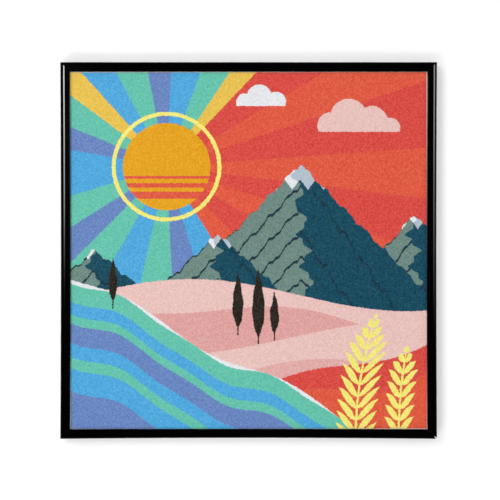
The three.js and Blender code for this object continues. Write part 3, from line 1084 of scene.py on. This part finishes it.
def card(name, start, end, heights, peak):
    """A glowing card that only reflections see, bent round the object from start to end degrees.
    heights holds (height over the frame's centre, share of peak)."""
    p = Paint(name)
    x, y, z = p.place()
    low, high = heights[0][0], heights[-1][0]
    ramp = p.node("ShaderNodeValToRGB")
    marks = ramp.color_ramp.elements
    marks[0].position = 0.0
    marks[0].color = grey(heights[0][1])
    marks[1].position = 1.0
    marks[1].color = grey(heights[-1][1])
    for height, share in heights[1:-1]:
        marks.new((height - low) / (high - low)).color = grey(share)
    p.put((z - (CENTRE_Z + low)) * (1 / (high - low)), ramp.inputs[0])
    material = p.finish(p.emission(ramp.outputs[0], peak))
    radius = 0.8
    steps = 24
    bm = bmesh.new()
    rows = []
    for height in (low, high):
        row = []
        for i in range(steps + 1):
            angle = math.radians(start + (end - start) * i / steps)
            point = (radius * math.sin(angle), -radius * math.cos(angle), CENTRE_Z + height)
            row.append(bm.verts.new(point))
        rows.append(row)
    for i in range(steps):
        bm.faces.new((rows[0][i], rows[0][i + 1], rows[1][i + 1], rows[1][i]))
    mesh = bpy.data.meshes.new(name)
    bm.to_mesh(mesh)
    bm.free()
    mesh.materials.append(material)
    made = bpy.data.objects.new(name, mesh)
    bpy.context.scene.collection.objects.link(made)
    only_seen(made, glossy=True)
    return made


def heights(*pairs):
    return [(height * MM, value) for height, value in pairs]


card(
    "card_left", -47, -24.5,
    heights(
        (-110, 0), (-46, 0.01), (16, 0.11), (78, 0.35), (109, 0.44), (140, 0.52),
        (171, 0.65), (203, 0.77), (234, 0.85), (272, 1.0), (279, 1.0), (284, 0),
    ),
    19,
)
card(
    "card_right", 43, 69,
    heights(
        (-110, 0.01), (-46, 0.10), (16, 0.28), (78, 0.46), (109, 0.57), (140, 0.72),
        (171, 0.85), (203, 0.94), (266, 1.0), (274, 1.0), (279, 0),
    ),
    6.2,
)


def back_card():
    """A glowing card behind the object, brightest in its middle, for the metal at the back."""
    p = Paint("card_back")
    x, y, z = p.place()
    across = p.smooth(p.math("ABSOLUTE", x), 1.7, 0.2)
    up = p.smooth(p.math("ABSOLUTE", z - CENTRE_Z - 0.3), 1.5, 0.2)
    material = p.finish(p.emission(grey(1), across * up * 0.9))
    low = CENTRE_Z - 1.2
    high = CENTRE_Z + 1.8
    half = 1.7
    away = 1.4
    made = sheet(
        "card_back",
        [(-half, away, low), (half, away, low), (half, away, high), (-half, away, high)],
        material,
    )
    only_seen(made, glossy=True)


back_card()


def lamp(name, place, size, irradiance):
    """A round lamp aimed at the frame's centre.
    irradiance is what a face that lies along the wall gets from it, over pi."""
    aim = Vector((0, FACE_Y, CENTRE_Z))
    place = Vector(place)
    data = bpy.data.lights.new(name, "AREA")
    data.shape = "DISK"
    data.size = size
    distance = (place - aim).length
    cosine = abs((place - aim).normalized().y)
    data.energy = irradiance * math.pi * math.pi * distance ** 2 / cosine
    made = bpy.data.objects.new(name, data)
    bpy.context.scene.collection.objects.link(made)
    made.location = place
    made.rotation_mode = "QUATERNION"
    made.rotation_quaternion = (aim - place).to_track_quat("-Z", "Y")
    return made


DISTANCE = 2.4
LEFT, HIGH, LOW = -0.60, 0.48, -0.80
for lamp_name, across, up, size, irradiance in (
    ("high_left", LEFT, HIGH, 1.5, 0.25),
    ("low_left", LEFT, LOW, 1.0, 0.17),
    ("high_middle", 0.0, HIGH, 1.2, 0.05),
    ("low_middle", 0.0, LOW, 0.8, 0.06),
    ("front_fill", 0.0, 0.02, 0.5, 0.34),
):
    spot = (across * DISTANCE, -DISTANCE, CENTRE_Z + up * DISTANCE)
    lamp(lamp_name, spot, size, irradiance).visible_glossy = False
lamp("back_fill", (0.5, 1.7, CENTRE_Z + 0.7), 1.2, 0.62).visible_glossy = False

world = bpy.data.worlds.new("studio")
bpy.context.scene.world = world
world.use_nodes = True
tree = world.node_tree
tree.nodes.clear()
path = tree.nodes.new("ShaderNodeLightPath")
direction = tree.nodes.new("ShaderNodeTexCoord").outputs["Generated"]
split = tree.nodes.new("ShaderNodeSeparateXYZ")
tree.links.new(direction, split.inputs[0])
behind = tree.nodes.new("ShaderNodeMapRange")
behind.interpolation_type = "SMOOTHSTEP"
behind.inputs["From Min"].default_value = -0.15
behind.inputs["From Max"].default_value = 0.35
behind.inputs["To Min"].default_value = 0.008
behind.inputs["To Max"].default_value = 0.12
tree.links.new(split.outputs[1], behind.inputs["Value"])


def pick(share, first, second):
    made = tree.nodes.new("ShaderNodeMix")
    made.data_type = "FLOAT"
    tree.links.new(share, made.inputs[0])
    for value, socket in ((first, made.inputs[2]), (second, made.inputs[3])):
        if isinstance(value, float):
            socket.default_value = value
        else:
            tree.links.new(value, socket)
    return made.outputs[0]


AMBIENT = 0.40
strength = pick(path.outputs["Is Glossy Ray"], AMBIENT, behind.outputs["Result"])
strength = pick(path.outputs["Is Transmission Ray"], strength, 1.0)
strength = pick(path.outputs["Is Camera Ray"], strength, 1.0)
background = tree.nodes.new("ShaderNodeBackground")
background.inputs["Color"].default_value = (1, 1, 1, 1)
tree.links.new(strength, background.inputs["Strength"])
world_output = tree.nodes.new("ShaderNodeOutputWorld")
tree.links.new(background.outputs[0], world_output.inputs["Surface"])

CAMERA_AWAY = 1.031

camera_data = bpy.data.cameras.new("camera")
camera_data.lens = 85
camera_data.sensor_width = 36
camera_data.clip_end = 60
camera = bpy.data.objects.new("camera", camera_data)
bpy.context.scene.collection.objects.link(camera)
camera.location = (1.2 * MM, FACE_Y - CAMERA_AWAY, CENTRE_Z + 0.44 * MM)
camera.rotation_euler = (QUARTER, 0, 0)
bpy.context.scene.camera = camera
bpy.context.scene.view_settings.view_transform = "Standard"
